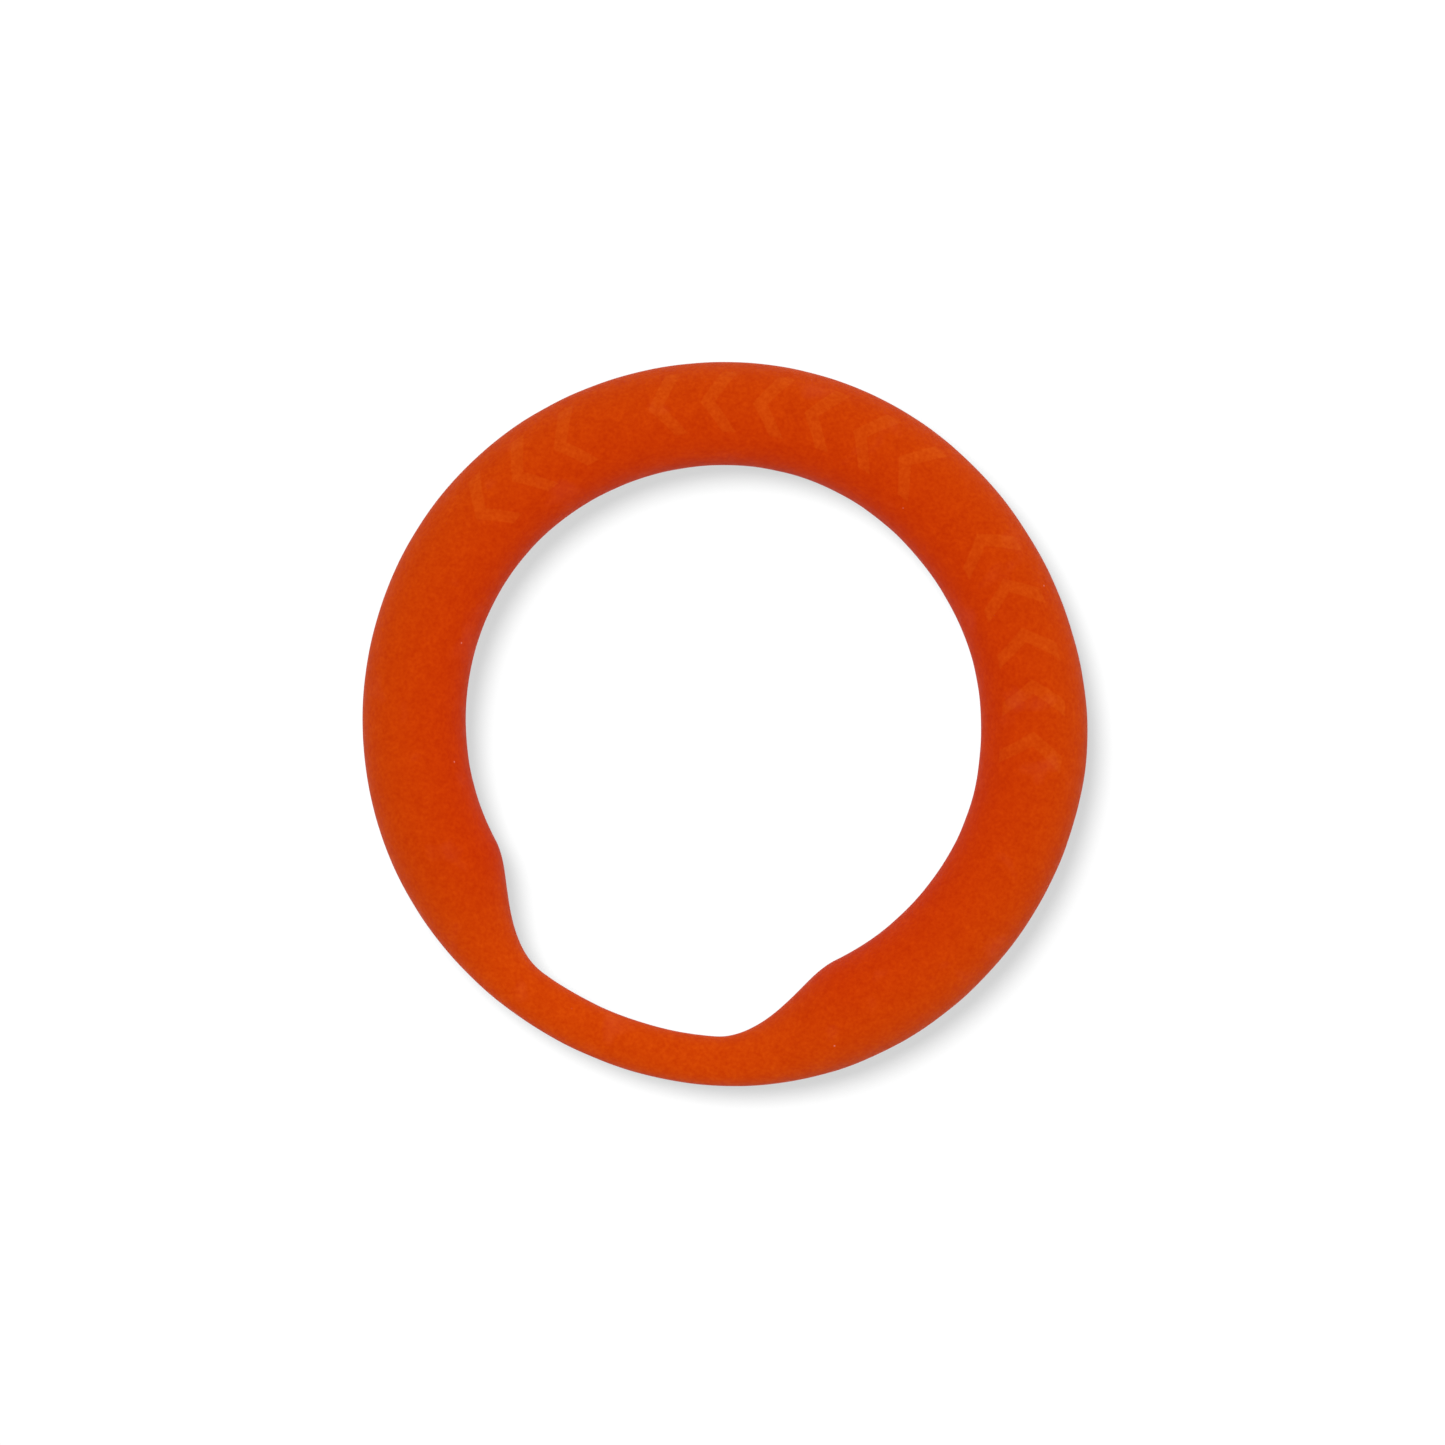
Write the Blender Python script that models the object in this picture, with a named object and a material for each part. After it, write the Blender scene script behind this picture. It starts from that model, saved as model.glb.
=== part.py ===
"""A soft flying ring with a slim grip, modelled as the pieces that it is put together from.

The ring lies flat on its foot, a narrow flat land round the underside. Its origin is the
middle of the hole at the height of that foot, +Z is up, and the slim bridge that the fingers
close round is on the -Y side. Sizes are in metres. A place round the ring is a bearing, in
degrees from the middle of the bridge, counter-clockwise seen from above.

Two silicone half shells meet at mid height. In the thick part of the ring they hold two
sponge rubber core halves, which close round a steel wire hoop. The hoop keeps the soft ring
round and flat. Its ends meet in a crimped ferrule inside the bridge, and a steel sleeve at
each end of the core makes up for the weight that the slim bridge lacks.
"""

import math

import bmesh
import bpy

# Driving dimensions
OUTER_DIAMETER = 0.180
TUBE_DIAMETER = 0.0256
BRIDGE_DIAMETER = 0.0122
BRIDGE_ARC = 34.6  # degrees that keep the bridge's full slimness
TAPER_ARC = 26.8  # degrees from the slim bridge to the full tube, on each side
FOOT_WIDTH = 0.0070
SKIN_WALL = 0.0030
RIB_WIDTH = 0.0010
RIB_HEIGHT = 0.0008
HOOP_DIAMETER = 0.0030
HOOP_END_GAP = 0.0010
FERRULE_WALL = 0.0010
FERRULE_LENGTH = 0.024
SLEEVE_DIAMETER = 0.0120
SLEEVE_LENGTH = 0.0081
CLEARANCE = 0.0003

# Fineness of the facets
LONG_STEP = 6.0  # degrees between sections in the even parts
SHORT_STEP = 3.4  # degrees between sections in the tapers
SKIN_SIDES = 14  # facets in half a turn of the outer surface
CORE_SIDES = 8  # facets in half a turn of the core, the sleeves and the cavity
WIRE_SIDES = 5  # facets in half a turn of the hoop and of the core's groove for it
SAME_BEARING = 1e-6  # degrees within which two bearings are one

# Sizes that follow from them
OUTER_RADIUS = OUTER_DIAMETER / 2
TUBE_RADIUS = TUBE_DIAMETER / 2
BRIDGE_RADIUS = BRIDGE_DIAMETER / 2
HOOP_RADIUS = HOOP_DIAMETER / 2
SLEEVE_RADIUS = SLEEVE_DIAMETER / 2
WIRE_BORE_RADIUS = HOOP_RADIUS + CLEARANCE
FERRULE_RADIUS = WIRE_BORE_RADIUS + FERRULE_WALL
MID_HEIGHT = math.sqrt(TUBE_RADIUS**2 - (FOOT_WIDTH / 2) ** 2)
UPPER_LAND = MID_HEIGHT + CLEARANCE / 2
LOWER_LAND = MID_HEIGHT - CLEARANCE / 2
RIB_PLACE = OUTER_RADIUS - SKIN_WALL / 2
RIB_TOP = LOWER_LAND + RIB_HEIGHT
BRIDGE_END = BRIDGE_ARC / 2
TAPER_END = BRIDGE_END + TAPER_ARC


def from_bridge(bearing):
    """Degrees between a bearing and the middle of the bridge, from 0 to 180 on either side."""
    return abs((bearing + 180) % 360 - 180)


def tube_radius(bearing):
    """Radius of the round section at a bearing: slim in the bridge, eased up to the full tube."""
    share = min(max((from_bridge(bearing) - BRIDGE_END) / TAPER_ARC, 0.0), 1.0)
    eased = share * share * (3 - 2 * share)
    return BRIDGE_RADIUS + (TUBE_RADIUS - BRIDGE_RADIUS) * eased


def centre_radius(bearing):
    """Distance from the ring's axis to the middle of the section. The outer edge stays round."""
    return OUTER_RADIUS - tube_radius(bearing)


def bearing_of_radius(radius):
    """The bearing in the taper where the section reaches a radius."""
    eased = (radius - BRIDGE_RADIUS) / (TUBE_RADIUS - BRIDGE_RADIUS)
    share = 0.5 - math.sin(math.asin(1 - 2 * eased) / 3)
    return BRIDGE_END + TAPER_ARC * share


def turn(length, bearing):
    """The degrees that a length takes along the middle of the section."""
    return math.degrees(length / centre_radius(bearing))


# Bearings of the pieces inside, on the side that they share with the right taper
FERRULE_END = turn(FERRULE_LENGTH / 2, 0)
FERRULE_POCKET_END = FERRULE_END + turn(CLEARANCE, 0)
BORE_START = FERRULE_POCKET_END + turn(CLEARANCE, 0)
SLEEVE_START = bearing_of_radius(SLEEVE_RADIUS + CLEARANCE + SKIN_WALL)
SLEEVE_POCKET_START = SLEEVE_START - turn(CLEARANCE, SLEEVE_START)
BORE_END = SLEEVE_POCKET_START - turn(CLEARANCE, SLEEVE_START)
SLEEVE_END = SLEEVE_START + turn(SLEEVE_LENGTH, SLEEVE_START)
CORE_CAVITY_START = SLEEVE_END + turn(CLEARANCE, SLEEVE_END)
CORE_START = CORE_CAVITY_START + turn(CLEARANCE, SLEEVE_END)


def cavity_radius(bearing):
    """Radius of the space inside the skin, which steps to fit each piece that it holds."""
    distance = from_bridge(bearing) - SAME_BEARING
    if distance <= FERRULE_POCKET_END:
        return FERRULE_RADIUS + CLEARANCE
    if distance <= BORE_END:
        return WIRE_BORE_RADIUS
    if distance <= SLEEVE_END:
        return SLEEVE_RADIUS + CLEARANCE
    return tube_radius(bearing) - SKIN_WALL


def stations(start, end):
    """Bearings from start to end: each one where the section changes, and even steps between."""
    changes = [
        FERRULE_POCKET_END,
        BORE_START,
        BRIDGE_END,
        BORE_END,
        SLEEVE_POCKET_START,
        SLEEVE_END,
        CORE_CAVITY_START,
        CORE_START,
        TAPER_END,
        90,
        180,
    ]
    every = {0} | {sign * change for change in changes for sign in (1, -1)}
    every |= {360 - change for change in changes}
    inside = {stop for stop in every if start + SAME_BEARING < stop < end - SAME_BEARING}
    stops = sorted({start, end} | inside)
    bearings = [start]
    for low, high in zip(stops, stops[1:]):
        in_taper = BRIDGE_END < from_bridge((low + high) / 2) < TAPER_END
        longest = SHORT_STEP if in_taper else LONG_STEP
        count = math.ceil((high - low) / longest - SAME_BEARING)
        bearings += [low + (high - low) * i / count for i in range(1, count + 1)]
    return bearings


def arc(centre, radius, sides, backwards=False):
    """Points of half a turn, (distance from the axis, height), over the top from the outside in."""
    angles = [math.pi * i / sides for i in range(sides + 1)]
    if backwards:
        angles.reverse()
    return [
        (centre + radius * math.cos(angle), MID_HEIGHT + radius * math.sin(angle))
        for angle in angles
    ]


def circle(radius, sides):
    """A section: a full circle round the middle of the tube."""

    def section(bearing):
        centre = centre_radius(bearing)
        return [
            (
                centre + radius * math.cos(2 * math.pi * i / sides),
                MID_HEIGHT + radius * math.sin(2 * math.pi * i / sides),
            )
            for i in range(sides)
        ]

    return section


def lift_to(points, height):
    """The points, with those below a height raised to it."""
    return [(distance, max(z, height)) for distance, z in points]


def turn_over(points):
    """The points mirrored about mid height."""
    return [(distance, 2 * MID_HEIGHT - z) for distance, z in points]


def rib_points(land, top, half_width):
    """The square corners of the locating rib, or of the groove that takes it, from inside out."""
    inside = RIB_PLACE - half_width
    outside = RIB_PLACE + half_width
    return [(inside, land), (inside, top), (outside, top), (outside, land)]


def upper_skin_section(bearing):
    """Half round outside, half round inside, with a groove in the outer land."""
    centre = centre_radius(bearing)
    outside = lift_to(arc(centre, tube_radius(bearing), SKIN_SIDES), UPPER_LAND)
    inside = lift_to(arc(centre, cavity_radius(bearing), CORE_SIDES, True), UPPER_LAND)
    groove = rib_points(UPPER_LAND, RIB_TOP + CLEARANCE, RIB_WIDTH / 2 + CLEARANCE)
    return outside + inside + groove


def lower_skin_section(bearing):
    """The same turned over, with the rib on its outer land and the foot cut flat."""
    centre = centre_radius(bearing)
    outside = lift_to(arc(centre, tube_radius(bearing), SKIN_SIDES), UPPER_LAND)
    inside = lift_to(arc(centre, cavity_radius(bearing), CORE_SIDES, True), UPPER_LAND)
    rib = rib_points(LOWER_LAND, RIB_TOP, RIB_WIDTH / 2)
    return lift_to(turn_over(outside + inside), 0) + rib


def upper_core_section(bearing):
    """Half round outside, with a half round groove for the hoop."""
    centre = centre_radius(bearing)
    outside = arc(centre, cavity_radius(bearing) - CLEARANCE, CORE_SIDES)
    groove = arc(centre, WIRE_BORE_RADIUS, WIRE_SIDES, True)
    return lift_to(outside + groove, UPPER_LAND)


def lower_core_section(bearing):
    """The upper core's section turned over."""
    return turn_over(upper_core_section(bearing))


def ring_of_points(mesh, section, bearing):
    """One section's points, stood up across the ring at its bearing."""
    angle = math.radians(bearing)
    return [
        mesh.verts.new((distance * math.sin(angle), -distance * math.cos(angle), z))
        for distance, z in section(bearing)
    ]


def join_rings(mesh, first, second):
    """A band of quads between two rings of as many points."""
    for i in range(len(first)):
        j = (i + 1) % len(first)
        mesh.faces.new((first[i], first[j], second[j], second[i]))


def swept(name, material, bearings, section, bore=None, closed=False):
    """A solid swept round the ring, all the way or between two end faces, with or without a bore."""
    mesh = bmesh.new()
    surfaces = [section] if bore is None else [section, bore]
    ends = []
    for surface in surfaces:
        places = bearings[:-1] if closed else bearings
        rings = [ring_of_points(mesh, surface, bearing) for bearing in places]
        for first, second in zip(rings, rings[1:]):
            join_rings(mesh, first, second)
        if closed:
            join_rings(mesh, rings[-1], rings[0])
        ends.append((rings[0], rings[-1]))
    if not closed:
        for side in (0, 1):
            if bore is None:
                mesh.faces.new(ends[0][side])
            else:
                join_rings(mesh, ends[0][side], ends[1][side])
    bmesh.ops.recalc_face_normals(mesh, faces=mesh.faces)
    data = bpy.data.meshes.new(name)
    mesh.to_mesh(data)
    mesh.free()
    data.materials.append(material)
    data.shade_smooth()
    data.set_sharp_from_angle(angle=math.radians(35))
    part = bpy.data.objects.new(name, data)
    bpy.context.scene.collection.objects.link(part)
    return part


def principled(name, colour, roughness, metallic=0.0):
    """A plain material of one colour."""
    material = bpy.data.materials.new(name)
    material.use_nodes = True
    shader = material.node_tree.nodes["Principled BSDF"]
    shader.inputs["Base Color"].default_value = (*colour, 1.0)
    shader.inputs["Roughness"].default_value = roughness
    shader.inputs["Metallic"].default_value = metallic
    return material


def clear_scene():
    for old in list(bpy.data.objects):
        bpy.data.objects.remove(old, do_unlink=True)


def make_skins():
    """The two silicone half shells. A rib on the lower one seats in the upper one's groove."""
    all_round = stations(-180, 180)
    for name, section in (("upper_skin", upper_skin_section), ("lower_skin", lower_skin_section)):
        silicone = principled(name, (0.60, 0.047, 0.002), 0.62)
        swept(name, silicone, all_round, section, closed=True)


def make_cores():
    """The two sponge rubber halves, which fill the thick part and close round the hoop."""
    thick_part = stations(CORE_START, 360 - CORE_START)
    for name, section in (("upper_core", upper_core_section), ("lower_core", lower_core_section)):
        sponge = principled(name, (0.16, 0.16, 0.17), 0.95)
        swept(name, sponge, thick_part, section)


def make_hoop():
    """The wire, all the way round but for the small gap between its ends."""
    half_gap = turn(HOOP_END_GAP / 2, 0)
    steel = principled("backbone_hoop", (0.52, 0.53, 0.55), 0.32, metallic=1.0)
    bearings = stations(half_gap, 360 - half_gap)
    swept("backbone_hoop", steel, bearings, circle(HOOP_RADIUS, 2 * WIRE_SIDES))


def make_ferrule():
    """The crimped tube that joins the wire's ends."""
    steel = principled("hoop_ferrule", (0.60, 0.60, 0.60), 0.38, metallic=1.0)
    bore = circle(WIRE_BORE_RADIUS, 2 * CORE_SIDES)
    outside = circle(FERRULE_RADIUS, 2 * CORE_SIDES)
    swept("hoop_ferrule", steel, stations(-FERRULE_END, FERRULE_END), outside, bore)


def make_balance_sleeves():
    """A steel sleeve on the hoop at each end of the core."""
    bore = circle(WIRE_BORE_RADIUS, 2 * CORE_SIDES)
    outside = circle(SLEEVE_RADIUS, 2 * CORE_SIDES)
    for side, start, end in (
        ("right", SLEEVE_START, SLEEVE_END),
        ("left", -SLEEVE_END, -SLEEVE_START),
    ):
        name = f"{side}_balance_sleeve"
        steel = principled(name, (0.45, 0.46, 0.47), 0.45, metallic=1.0)
        swept(name, steel, stations(start, end), outside, bore)


clear_scene()
make_skins()
make_cores()
make_hoop()
make_ferrule()
make_balance_sleeves()
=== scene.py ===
"""The soft flying ring: fine silicone skins, generic printed marks, materials, light and camera.

Sizes are in metres. A bearing is degrees from the middle of the slim bridge, counter-clockwise
seen from above, and a turn is the angle round the tube's section, 0 at its outer edge. A
direction is degrees from +X, counter-clockwise seen from above.
"""
import math

import bpy
from mathutils import Matrix, Vector, noise


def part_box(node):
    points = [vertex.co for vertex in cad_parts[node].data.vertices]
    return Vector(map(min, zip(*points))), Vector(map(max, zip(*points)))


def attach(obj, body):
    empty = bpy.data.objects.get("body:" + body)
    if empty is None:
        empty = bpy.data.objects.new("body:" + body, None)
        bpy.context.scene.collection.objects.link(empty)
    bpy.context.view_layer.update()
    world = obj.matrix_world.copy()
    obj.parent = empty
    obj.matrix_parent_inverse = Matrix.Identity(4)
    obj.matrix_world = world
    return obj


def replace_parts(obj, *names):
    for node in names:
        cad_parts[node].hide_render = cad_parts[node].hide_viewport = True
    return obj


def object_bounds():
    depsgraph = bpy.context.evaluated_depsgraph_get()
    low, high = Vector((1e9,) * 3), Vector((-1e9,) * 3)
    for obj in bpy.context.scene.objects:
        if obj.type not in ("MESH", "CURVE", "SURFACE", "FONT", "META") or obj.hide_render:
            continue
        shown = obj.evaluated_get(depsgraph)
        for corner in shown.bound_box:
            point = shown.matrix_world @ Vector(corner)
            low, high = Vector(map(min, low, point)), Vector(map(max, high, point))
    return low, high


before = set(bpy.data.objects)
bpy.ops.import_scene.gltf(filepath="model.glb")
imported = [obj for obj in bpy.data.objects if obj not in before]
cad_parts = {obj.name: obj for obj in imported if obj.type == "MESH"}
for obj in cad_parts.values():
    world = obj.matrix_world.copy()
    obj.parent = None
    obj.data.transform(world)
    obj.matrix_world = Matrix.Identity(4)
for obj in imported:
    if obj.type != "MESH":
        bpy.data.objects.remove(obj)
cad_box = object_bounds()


def from_bridge(bearing):
    """Degrees between a bearing and the middle of the bridge, from 0 to 180 on either side."""
    return abs((bearing + 180) % 360 - 180)


def bearing_at(point):
    """The bearing of a point."""
    return math.degrees(math.atan2(point.x, -point.y))


def cad_points(node):
    """The points of a CAD piece."""
    return [vertex.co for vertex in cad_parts[node].data.vertices]


def reach(node):
    """The bearings between which a CAD piece lies, from the bridge to either side."""
    bearings = [from_bridge(bearing_at(point)) for point in cad_points(node)]
    return min(bearings), max(bearings)


def half_height(node):
    """The radius of a CAD piece that is round about the middle of the tube."""
    low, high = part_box(node)
    return (high[2] - low[2]) / 2


# Taken from the frame
BRIDGE_SAMPLE = 5  # degrees to either side of the bridge's middle, where it is slim all through
OUTER_RADIUS = cad_box[1].x
MID_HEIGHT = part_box("backbone_hoop")[0][2] + half_height("backbone_hoop")
HOLE_RADIUS = min(point.xy.length for point in cad_points("upper_skin"))
TUBE_RADIUS = (OUTER_RADIUS - HOLE_RADIUS) / 2
BRIDGE_POINTS = [
    point for point in cad_points("upper_skin")
    if from_bridge(bearing_at(point)) < BRIDGE_SAMPLE
]
BRIDGE_RADIUS = max(point.z for point in BRIDGE_POINTS) - MID_HEIGHT
HOOP_RADIUS = half_height("backbone_hoop")
FERRULE_RADIUS = half_height("hoop_ferrule")
SLEEVE_RADIUS = half_height("right_balance_sleeve")
FERRULE_END = reach("hoop_ferrule")[1]
SLEEVE_START, SLEEVE_END = reach("right_balance_sleeve")

# As in the CAD
BRIDGE_ARC = 34.6
TAPER_ARC = 26.8  # on each side of the bridge
SKIN_WALL = 0.0030
RIB_WIDTH = 0.0010
RIB_HEIGHT = 0.0008
CLEARANCE = 0.0003

# How the soft ring lies out of round: (waves round the ring, height, bearing of a crest)
WAVES = (
    (2, 0.00066, 61.4),
    (3, 0.00017, 50.8),
    (4, 0.00011, 20.3),
    (5, 0.00017, 31.1),
)
BULGE_HEIGHT = 0.00044
BULGE_BEARING = 105.8
BULGE_ARC = 12.0  # from its middle to where a third of it is left

# The moulded surface
RIPPLE_HEIGHT = 0.00005
RIPPLE_SIZE = 0.009
BEAD_HEIGHT = 0.00010
BEAD_WIDTH = 0.00022
BEAD_MEAN = 0.7  # share of the bead's height that stands on average
BEAD_SWING = 0.5
BEAD_LUMPS = 9  # higher for more rises and falls along the bead
SEAM_GAP = 0.00003
FOOT_EASE = 0.0002

# Fineness of the skins
BEARINGS = 720
OUTER_POINTS = 84
CAVITY_POINTS = 20
CROWDING = 0.75  # how much closer the points stand at the seam than over the top
SHARP_ANGLE = 35.0  # degrees between faces whose edge is drawn sharp

# The printed marks, in a round band that sits a little to one side of the ring's middle
MARK_HEIGHT = 0.0154
MARK_STROKE = 0.0040
MARK_LEAN = 0.0056  # how far a chevron's point runs ahead of its ends
MARK_PITCH = 9.6  # degrees
MARK_GROUPS = ((147.3, 3), (94.8, 6), (31.4, 5))  # (direction of the middle, marks)
BAND_RADIUS = 0.0777
BAND_SHIFT = 0.0025
BAND_SHIFT_DIRECTION = 127.0
INK_THICKNESS = 0.000015
INK_FADE = 0.00035  # how far in from a mark's edge the ink is full
INK_WANDER = 0.00015  # how far the ink's edge strays
INK_WANDER_SIZE = 0.0006
MARK_ROWS = 64
MARK_COLUMNS = 22

# The view from straight above
CAMERA_HEIGHT = 4.0
CAMERA_ROLL = 18.8
VIEW_WIDTH = 0.3601
VIEW_SHIFT = (-0.00044, 0.00030)
SENSOR_WIDTH = 36.0

# Light
WORLD_STRENGTH = 0.52
KEY_STRENGTH = 1.64
KEY_DIRECTION = 153.8
KEY_ELEVATION = 69.0
KEY_ANGLE = 23.0
FILL_STRENGTH = 1.08
FILL_DIRECTION = 8.8
FILL_ELEVATION = 60.0
FILL_ANGLE = 60.0
FLOOR_ALBEDO = 0.79
FLOOR_SIZE = 12.0

# Colours, linear
WHITE = (1.0, 1.0, 1.0)
# The inner side is painted darker and redder as shade, and the outer side paler as sheen, on bare
# silicone and on ink alike
INNER_ORANGE_PAINTED_SHADE = (0.545, 0.0400, 0.0008)
OUTER_ORANGE_PAINTED_SHEEN = (0.550, 0.0620, 0.0016)
# The slim bridge is painted lighter, as painted light falling on it
BRIDGE_ORANGE_PAINTED_LIGHT = (0.582, 0.0650, 0.0018)
INNER_INK_PAINTED_SHADE = (0.566, 0.0550, 0.0024)
OUTER_INK_PAINTED_SHEEN = (0.578, 0.0795, 0.0038)
BLOOM_COLOUR = (0.62, 0.13, 0.09)
DUST_COLOUR = (0.75, 0.28, 0.22)

# Where the silicone's colour and gloss change
NOISE_RANGE = (0.3, 0.7)  # most of a noise's values lie between these
MOTTLES = ((0.0060, 0.035), (0.0022, 0.060), (0.0009, 0.100))  # (size, depth)
MOTTLE_GREEN = 3  # how many times as much a mottle darkens green as red
MOTTLE_BLUE = 6
BLOOM_SIZE = 0.012
BLOOM_DETAIL = 2.0
BLOOM_RANGE = (0.60, 0.78)  # the part of the noise that shows as bloom
BLOOM_SHARE = 0.06
DUST_SPACING = 0.006
DUST_CORE = 0.02  # how far a speck is solid, in spacings
DUST_EDGE = 0.05
DUST_SHARE = 0.5
DUST_CHOICE = (0.60, 0.62)  # cells with a random value above these hold a speck
GLOSS_SIZE = 0.002
SILICONE_ROUGHNESS = (0.60, 0.76)

# How the steel's gloss changes
STEEL_GLOSS_LUMPS = 3  # how much larger than the marks of working
STEEL_SMOOTHER = 0.06
STEEL_ROUGHER = 0.08


def tube_radius(bearing):
    """Radius of the section: slim in the bridge, eased up to the full tube."""
    share = min(max((from_bridge(bearing) - BRIDGE_ARC / 2) / TAPER_ARC, 0.0), 1.0)
    eased = share * share * (3 - 2 * share)
    return BRIDGE_RADIUS + (TUBE_RADIUS - BRIDGE_RADIUS) * eased


def slimness(bearing):
    """From 0 in the full tube to 1 in the bridge."""
    return (TUBE_RADIUS - tube_radius(bearing)) / (TUBE_RADIUS - BRIDGE_RADIUS)


def centre_radius(bearing):
    """Distance from the ring's axis to the middle of the section."""
    return OUTER_RADIUS - tube_radius(bearing)


def cavity_radius(bearing):
    """Radius of the space inside the skins, which steps to fit each piece that it holds."""
    step = 360 / BEARINGS
    distance = from_bridge(bearing)
    if distance < FERRULE_END + step:
        return FERRULE_RADIUS + CLEARANCE
    if distance < SLEEVE_START - step:
        return HOOP_RADIUS + CLEARANCE
    if distance < SLEEVE_END + step:
        return SLEEVE_RADIUS + CLEARANCE
    return tube_radius(bearing) - SKIN_WALL


def sideways(bearing):
    """How far the soft ring is pushed out of round at a bearing."""
    return sum(
        height * math.cos(count * math.radians(bearing - crest))
        for count, height, crest in WAVES
    )


def bulge(bearing):
    """How far the surface stands out at a bearing where the soft tube is a little fuller."""
    from_middle = from_bridge(bearing - BULGE_BEARING) / BULGE_ARC
    return BULGE_HEIGHT * math.exp(-from_middle * from_middle)


def outward(bearing):
    """The level direction from the middle of the hole."""
    angle = math.radians(bearing)
    return Vector((math.sin(angle), -math.cos(angle), 0))


def ground_off(height):
    """The height after the foot is eased flat at the floor."""
    return (height + math.sqrt(height * height + FOOT_EASE * FOOT_EASE)) / 2


def round_tube(bearing, turn, centre, radius):
    """A point at a turn round a section, and the normal there."""
    direction = outward(bearing)
    normal = direction * math.cos(turn) + Vector((0, 0, math.sin(turn)))
    return direction * centre + Vector((0, 0, MID_HEIGHT)) + normal * radius, normal


def skin_point(bearing, turn, lift=0.0):
    """A point of the outer surface, or one lifted off it."""
    radius = tube_radius(bearing)
    centre = centre_radius(bearing) + sideways(bearing)
    smooth, normal = round_tube(bearing, turn, centre, radius)
    swell = RIPPLE_HEIGHT * noise.noise(smooth / RIPPLE_SIZE)
    from_seam = abs(radius * math.sin(turn))
    unevenness = BEAD_MEAN + BEAD_SWING * noise.noise(outward(bearing) * BEAD_LUMPS)
    bead = BEAD_HEIGHT * unevenness * math.exp(-((from_seam / BEAD_WIDTH) ** 2))
    point = smooth + normal * (swell + bulge(bearing) + bead + lift)
    point.z = ground_off(point.z)
    return point


def cavity_point(bearing, turn):
    """A point of the surface that faces the pieces inside."""
    return round_tube(bearing, turn, centre_radius(bearing), cavity_radius(bearing))[0]


def rib_points(bearing, side):
    """The locating rib in the lower skin's outer land, or the groove for it in the upper's."""
    room = CLEARANCE if side > 0 else 0.0
    middle = OUTER_RADIUS - SKIN_WALL / 2 + sideways(bearing) / 2
    land = MID_HEIGHT + side * SEAM_GAP / 2
    top = MID_HEIGHT + RIB_HEIGHT + room
    inside = middle - RIB_WIDTH / 2 - room
    outside = middle + RIB_WIDTH / 2 + room
    corners = ((inside, land), (inside, top), (outside, top), (outside, land))
    return [outward(bearing) * distance + Vector((0, 0, z)) for distance, z in corners]


def new_piece(name, points, faces, material):
    """A smooth silicone object that moves with the ring."""
    mesh = bpy.data.meshes.new(name)
    mesh.from_pydata(points, [], faces)
    mesh.validate()
    mesh.materials.append(material)
    mesh.shade_smooth()
    mesh.set_sharp_from_angle(angle=math.radians(SHARP_ANGLE))
    piece = bpy.data.objects.new(name, mesh)
    bpy.context.scene.collection.objects.link(piece)
    piece.visible_diffuse = False
    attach(piece, "root")
    return piece


def outer_turns():
    """Turns from the outer seam over the top to the inner one, closest together at both."""
    steps = [i / (OUTER_POINTS - 1) for i in range(OUTER_POINTS)]
    return [math.pi * step - CROWDING * math.sin(2 * math.pi * step) / 2 for step in steps]


def skin_section(bearing, side):
    """The closed outline of a half shell: outside, cavity, and rib or groove."""
    seam = MID_HEIGHT + side * SEAM_GAP / 2
    cavity_turns = [math.pi * (1 - i / (CAVITY_POINTS - 1)) for i in range(CAVITY_POINTS)]
    section = [skin_point(bearing, side * turn) for turn in outer_turns()]
    section += [cavity_point(bearing, side * turn) for turn in cavity_turns]
    for point in section:
        point.z = max(point.z, seam) if side > 0 else min(point.z, seam)
    return section + rib_points(bearing, side)


def skin(name, side, material):
    """One half shell, closed, with the faint bead of the parting line along its lips."""
    sections = [skin_section(360 * i / BEARINGS, side) for i in range(BEARINGS)]
    size = len(sections[0])
    faces = []
    for i in range(BEARINGS):
        here = i * size
        there = (i + 1) % BEARINGS * size
        for j in range(size):
            k = (j + 1) % size
            face = (here + j, here + k, there + k, there + j)
            faces.append(face if side < 0 else face[::-1])
    points = [point for section in sections for point in section]
    piece = new_piece(name, points, faces, material)
    slim = [slimness(360 * i / BEARINGS) for i in range(BEARINGS) for _ in range(size)]
    piece.data.attributes.new("slim", "FLOAT", "POINT").data.foreach_set("value", slim)
    return piece


def on_skin(position, lift):
    """The point of the skin over a level position, lifted off it."""
    bearing = bearing_at(position)
    radius = tube_radius(bearing)
    across = position.xy.length - centre_radius(bearing) - sideways(bearing)
    return skin_point(bearing, math.acos(max(-1.0, min(1.0, across / radius))), lift)


def mark_points(direction):
    """The top and then the underside of a printed chevron, and how much ink each point has."""
    shift = outward(BAND_SHIFT_DIRECTION + 90) * BAND_SHIFT
    places = []
    amounts = []
    for row in range(MARK_ROWS):
        height = MARK_HEIGHT * (row / (MARK_ROWS - 1) - 0.5)
        lead = MARK_LEAN * (0.5 - abs(height) / (MARK_HEIGHT / 2))
        for column in range(MARK_COLUMNS):
            across = MARK_STROKE * (column / (MARK_COLUMNS - 1) - 0.5)
            angle = math.radians(direction) + (lead + across) / BAND_RADIUS
            spoke = Vector((math.cos(angle), math.sin(angle), 0))
            place = shift + spoke * (BAND_RADIUS + height)
            stray = INK_WANDER * noise.noise(place / INK_WANDER_SIZE)
            from_end = MARK_HEIGHT / 2 - abs(height) + stray
            from_side = MARK_STROKE / 2 - abs(across) + stray
            inside = min(max(min(from_end, from_side) / INK_FADE, 0.0), 1.0)
            places.append(place)
            amounts.append(inside * inside * (3 - 2 * inside))
    top = [on_skin(place, INK_THICKNESS) for place in places]
    underside = [on_skin(place, -INK_THICKNESS) for place in places]
    return top + underside, amounts + amounts


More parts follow.
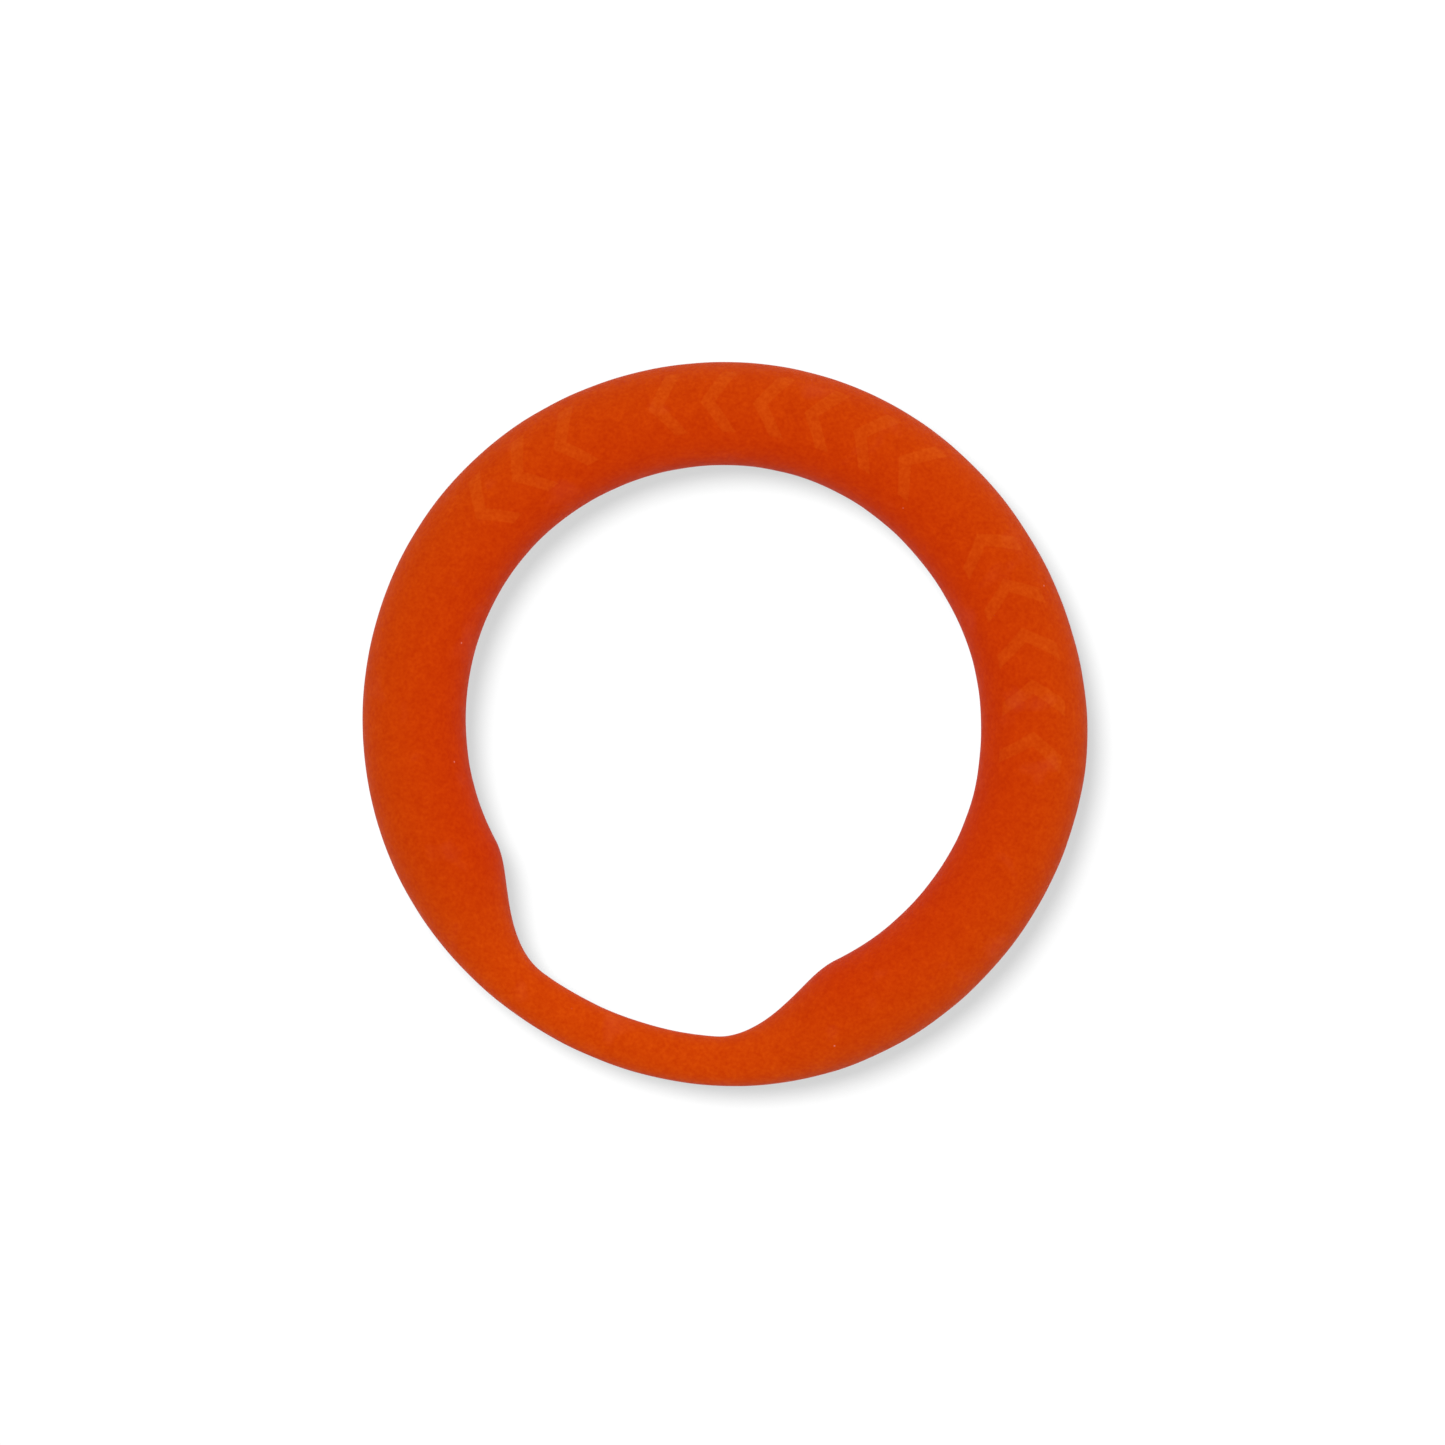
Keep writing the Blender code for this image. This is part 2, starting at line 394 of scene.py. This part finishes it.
def mark_faces():
    """Faces of a closed thin sheet whose top grid is followed by its underside."""
    below = MARK_ROWS * MARK_COLUMNS
    faces = []
    for i in range(MARK_ROWS - 1):
        for j in range(MARK_COLUMNS - 1):
            a = i * MARK_COLUMNS + j
            face = (a, a + 1, a + MARK_COLUMNS + 1, a + MARK_COLUMNS)
            faces.append(face[::-1])
            faces.append(tuple(below + corner for corner in face))
    rim = list(range(MARK_COLUMNS))
    rim += [i * MARK_COLUMNS + MARK_COLUMNS - 1 for i in range(1, MARK_ROWS)]
    rim += [(MARK_ROWS - 1) * MARK_COLUMNS + j for j in range(MARK_COLUMNS - 2, -1, -1)]
    rim += [i * MARK_COLUMNS for i in range(MARK_ROWS - 2, 0, -1)]
    for a, b in zip(rim, rim[1:] + rim[:1]):
        faces.append((a, b, below + b, below + a))
    return faces


def marks(material):
    """Printed chevrons in three groups, which all point the same way round the ring."""
    for group, (middle, count) in enumerate(MARK_GROUPS, 1):
        for i in range(count):
            points, amounts = mark_points(middle + MARK_PITCH * ((count - 1) / 2 - i))
            piece = new_piece(f"mark_{group}_{i + 1}", points, mark_faces(), material)
            ink = piece.data.attributes.new("ink", "FLOAT", "POINT")
            ink.data.foreach_set("value", amounts)


class Nodes:
    """A material's node tree, with short ways to add and link its nodes."""

    def __init__(self, name):
        self.material = bpy.data.materials.new(name)
        self.material.use_nodes = True
        self.tree = self.material.node_tree
        self.shader = self.tree.nodes["Principled BSDF"]
        self.place = self.add("ShaderNodeTexCoord").outputs["Object"]

    def add(self, kind, **settings):
        node = self.tree.nodes.new(kind)
        for key, value in settings.items():
            setattr(node, key, value)
        return node

    def link(self, output, node_input):
        self.tree.links.new(output, node_input)

    def noise(self, size, detail=3.0, roughness=0.5):
        """A noise between 0 and 1 whose lumps are about a size across."""
        node = self.add("ShaderNodeTexNoise")
        node.inputs["Scale"].default_value = 1 / size
        node.inputs["Detail"].default_value = detail
        node.inputs["Roughness"].default_value = roughness
        self.link(self.place, node.inputs["Vector"])
        return node.outputs["Fac"]

    def cells(self, size):
        """Random cells about a size across: distance from the middle, and a random colour."""
        node = self.add("ShaderNodeTexVoronoi")
        node.inputs["Scale"].default_value = 1 / size
        self.link(self.place, node.inputs["Vector"])
        return node.outputs["Distance"], node.outputs["Color"]

    def stored(self, name):
        """A value that the mesh holds at its points, or 0 where it holds none."""
        return self.add("ShaderNodeAttribute", attribute_name=name).outputs["Fac"]

    def from_axis(self):
        """The distance from the ring's spin axis."""
        level = self.add("ShaderNodeVectorMath", operation="MULTIPLY")
        level.inputs[1].default_value = (1.0, 1.0, 0.0)
        length = self.add("ShaderNodeVectorMath", operation="LENGTH")
        self.link(self.place, level.inputs[0])
        self.link(level.outputs["Vector"], length.inputs[0])
        return length.outputs["Value"]

    def ramp(self, value, *stops):
        """A colour ramp between two (place, colour) stops."""
        node = self.add("ShaderNodeValToRGB")
        for element, (place, colour) in zip(node.color_ramp.elements, stops):
            element.position = place
            element.color = (*colour, 1.0)
        self.link(value, node.inputs["Fac"])
        return node.outputs["Color"]

    def span(self, value, to_range, from_range=NOISE_RANGE):
        """The value stretched from one range to another, and held at its ends."""
        node = self.add("ShaderNodeMapRange")
        node.inputs["From Min"].default_value = from_range[0]
        node.inputs["From Max"].default_value = from_range[1]
        node.inputs["To Min"].default_value = to_range[0]
        node.inputs["To Max"].default_value = to_range[1]
        self.link(value, node.inputs["Value"])
        return node.outputs["Result"]

    def times(self, first, second):
        """The product of two values."""
        node = self.add("ShaderNodeMath", operation="MULTIPLY")
        self.link(first, node.inputs[0])
        self.link(second, node.inputs[1])
        return node.outputs["Value"]

    def mix(self, share, first, second, blend="MIX"):
        """Two colours mixed. Each of them, and the share, is an output or a plain value."""
        node = self.add("ShaderNodeMix", data_type="RGBA", blend_type=blend)
        sockets = {socket.identifier: socket for socket in node.inputs}
        values = {"Factor_Float": share, "A_Color": first, "B_Color": second}
        for name, value in values.items():
            if isinstance(value, bpy.types.NodeSocket):
                self.link(value, sockets[name])
            elif name == "Factor_Float":
                sockets[name].default_value = value
            else:
                sockets[name].default_value = (*value, 1.0)
        return next(socket for socket in node.outputs if socket.identifier == "Result_Color")

    def mottle(self, colour, size, depth):
        """The colour with lumps a size across, darker and redder by up to a depth."""
        low, high = NOISE_RANGE
        darkest = (1 - depth, 1 - MOTTLE_GREEN * depth, 1 - MOTTLE_BLUE * depth)
        lumps = self.ramp(self.noise(size), (low, darkest), (high, WHITE))
        return self.mix(1.0, colour, lumps, "MULTIPLY")

    def bump(self, height, depth, strength=1.0):
        """A bump whose highest point stands a depth above its lowest."""
        node = self.add("ShaderNodeBump")
        node.inputs["Distance"].default_value = depth
        node.inputs["Strength"].default_value = strength
        self.link(height, node.inputs["Height"])
        self.link(node.outputs["Normal"], self.shader.inputs["Normal"])

    def colour(self, output):
        self.link(output, self.shader.inputs["Base Color"])

    def roughness(self, output):
        self.link(output, self.shader.inputs["Roughness"])

    def fixed(self, **values):
        """Values that are the same all over, set on the shader's own sockets."""
        for key, value in values.items():
            self.shader.inputs[key.replace("_", " ")].default_value = value


def silicone_look():
    """Matte orange silicone with tone-on-tone ink, uneven pigment, pale bloom and dust. The inner side
    is painted darker and redder as shade, the outer side paler as sheen, and the slim bridge lighter
    as painted light.
    """
    nodes = Nodes("orange_silicone")
    # From the hole to the outer rim: painted shade on the inner side, painted sheen on the outer side
    shade_to_sheen = nodes.span(nodes.from_axis(), (0.0, 1.0), (HOLE_RADIUS, OUTER_RADIUS))
    bare = nodes.mix(shade_to_sheen, INNER_ORANGE_PAINTED_SHADE, OUTER_ORANGE_PAINTED_SHEEN)
    # Painted light: the slim bridge is made lighter than the full tube
    bare = nodes.mix(nodes.stored("slim"), bare, BRIDGE_ORANGE_PAINTED_LIGHT)
    printed = nodes.mix(shade_to_sheen, INNER_INK_PAINTED_SHADE, OUTER_INK_PAINTED_SHEEN)
    colour = nodes.mix(nodes.stored("ink"), bare, printed)
    for size, depth in MOTTLES:
        colour = nodes.mottle(colour, size, depth)
    bloom = nodes.span(nodes.noise(BLOOM_SIZE, BLOOM_DETAIL), (0.0, BLOOM_SHARE), BLOOM_RANGE)
    colour = nodes.mix(bloom, colour, BLOOM_COLOUR)
    distance, random = nodes.cells(DUST_SPACING)
    speck = nodes.span(distance, (DUST_SHARE, 0.0), (DUST_CORE, DUST_EDGE))
    chosen = nodes.span(random, (0.0, 1.0), DUST_CHOICE)
    colour = nodes.mix(nodes.times(speck, chosen), colour, DUST_COLOUR)
    nodes.colour(colour)
    nodes.roughness(nodes.span(nodes.noise(GLOSS_SIZE), SILICONE_ROUGHNESS))
    grain = nodes.noise(size=0.0004, detail=3.0, roughness=0.6)
    nodes.bump(grain, depth=0.00004, strength=0.6)
    nodes.fixed(
        Diffuse_Roughness=0.4,
        Specular_IOR_Level=0.06,
        Specular_Tint=(1.0, 0.35, 0.12, 1.0),
        IOR=1.41,
        Sheen_Weight=0.02,
        Sheen_Roughness=0.35,
    )
    return nodes.material


def sponge_look():
    """Closed-cell sponge rubber: charcoal, with small cells that the cut surface opens, each painted
    darker towards its middle as shade in its hollow.
    """
    nodes = Nodes("sponge_rubber")
    distance, _ = nodes.cells(size=0.0009)
    # The middle of each cell is painted darker, as shade in its hollow
    pore_shade = (0.1, (0.03, 0.03, 0.032))
    wall = (0.6, (0.10, 0.10, 0.105))
    nodes.colour(nodes.ramp(distance, pore_shade, wall))
    nodes.bump(distance, depth=0.0003, strength=0.8)
    nodes.fixed(Roughness=0.95)
    return nodes.material


def steel(name, dark, light, size, roughness):
    """Steel with marks of working a size across, a little uneven in colour and gloss."""
    nodes = Nodes(name)
    low, high = NOISE_RANGE
    scratches = nodes.noise(size, detail=5.0, roughness=0.7)
    nodes.colour(nodes.ramp(scratches, (low, dark), (high, light)))
    gloss = nodes.noise(size * STEEL_GLOSS_LUMPS)
    nodes.roughness(nodes.span(gloss, (roughness - STEEL_SMOOTHER, roughness + STEEL_ROUGHER)))
    nodes.bump(scratches, depth=0.00002, strength=0.5)
    nodes.fixed(Metallic=1.0)
    return nodes.material


def wire_look():
    """Drawn spring wire."""
    return steel(
        "wire_steel", dark=(0.38, 0.39, 0.41), light=(0.60, 0.61, 0.63), size=0.0004, roughness=0.30
    )


def ferrule_look():
    """Plain crimped tube."""
    return steel(
        "ferrule_steel", dark=(0.46, 0.46, 0.46), light=(0.68, 0.68, 0.67), size=0.0006, roughness=0.38
    )


def sleeve_look():
    """Dull turned steel."""
    return steel(
        "sleeve_steel", dark=(0.34, 0.35, 0.36), light=(0.54, 0.55, 0.56), size=0.0008, roughness=0.45
    )


def floor_look():
    """Even white paper."""
    nodes = Nodes("floor_paper")
    nodes.fixed(
        Base_Color=(FLOOR_ALBEDO, FLOOR_ALBEDO, FLOOR_ALBEDO, 1.0),
        Roughness=0.9,
        Specular_IOR_Level=0.0,
    )
    return nodes.material


def dress(material, *names):
    """Give CAD nodes that stay a better material."""
    for name in names:
        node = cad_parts[name]
        node.visible_diffuse = False
        for place in node.material_slots:
            place.material = material


def dress_inner_nodes():
    """Materials for the pieces that the skins enclose."""
    dress(sponge_look(), "upper_core", "lower_core")
    dress(wire_look(), "backbone_hoop")
    dress(ferrule_look(), "hoop_ferrule")
    dress(sleeve_look(), "left_balance_sleeve", "right_balance_sleeve")


def floor():
    """A plain white floor."""
    half = FLOOR_SIZE / 2
    corners = [(-half, -half, 0), (half, -half, 0), (half, half, 0), (-half, half, 0)]
    mesh = bpy.data.meshes.new("floor")
    mesh.from_pydata(corners, [], [(0, 1, 2, 3)])
    mesh.materials.append(floor_look())
    plane = bpy.data.objects.new("floor", mesh)
    bpy.context.scene.collection.objects.link(plane)


def sun(name, direction, elevation, angle, strength, casts_shadow):
    """A large soft light, far away."""
    data = bpy.data.lights.new(name, "SUN")
    data.energy = strength
    data.angle = math.radians(angle)
    data.use_shadow = casts_shadow
    lamp = bpy.data.objects.new(name, data)
    bpy.context.scene.collection.objects.link(lamp)
    level = math.radians(elevation)
    source = outward(direction + 90) * math.cos(level) + Vector((0, 0, math.sin(level)))
    lamp.rotation_mode = "QUATERNION"
    lamp.rotation_quaternion = source.to_track_quat("Z", "Y")


def surroundings():
    """An even white room, seen as plain white behind the floor."""
    world = bpy.data.worlds.new("room")
    bpy.context.scene.world = world
    world.use_nodes = True
    tree = world.node_tree
    lit = tree.nodes["Background"]
    lit.inputs["Strength"].default_value = WORLD_STRENGTH
    lit.inputs["Color"].default_value = (*WHITE, 1.0)
    seen = tree.nodes.new("ShaderNodeBackground")
    seen.inputs["Color"].default_value = (*WHITE, 1.0)
    rays = tree.nodes.new("ShaderNodeLightPath")
    choice = tree.nodes.new("ShaderNodeMixShader")
    tree.links.new(rays.outputs["Is Camera Ray"], choice.inputs["Fac"])
    tree.links.new(lit.outputs["Background"], choice.inputs[1])
    tree.links.new(seen.outputs["Background"], choice.inputs[2])
    tree.links.new(choice.outputs["Shader"], tree.nodes["World Output"].inputs["Surface"])


def camera():
    """Straight above, turned so that the bridge lies low and to the left."""
    data = bpy.data.cameras.new("camera")
    data.sensor_width = SENSOR_WIDTH
    data.lens = SENSOR_WIDTH * CAMERA_HEIGHT / VIEW_WIDTH
    data.dof.use_dof = False
    view = bpy.data.objects.new("camera", data)
    bpy.context.scene.collection.objects.link(view)
    roll = Matrix.Rotation(math.radians(CAMERA_ROLL), 4, "Z")
    place = roll @ Vector((*VIEW_SHIFT, 0)) + Vector((0, 0, MID_HEIGHT + CAMERA_HEIGHT))
    view.matrix_world = Matrix.Translation(place) @ roll
    bpy.context.scene.camera = view


camera()
surroundings()
sun("key", KEY_DIRECTION, KEY_ELEVATION, KEY_ANGLE, KEY_STRENGTH, True)
sun("fill", FILL_DIRECTION, FILL_ELEVATION, FILL_ANGLE, FILL_STRENGTH, False)
floor()
bpy.context.scene.view_settings.view_transform = "Standard"

silicone = silicone_look()
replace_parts(skin("upper_skin_fine", 1, silicone), "upper_skin")
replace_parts(skin("lower_skin_fine", -1, silicone), "lower_skin")
marks(silicone)
dress_inner_nodes()
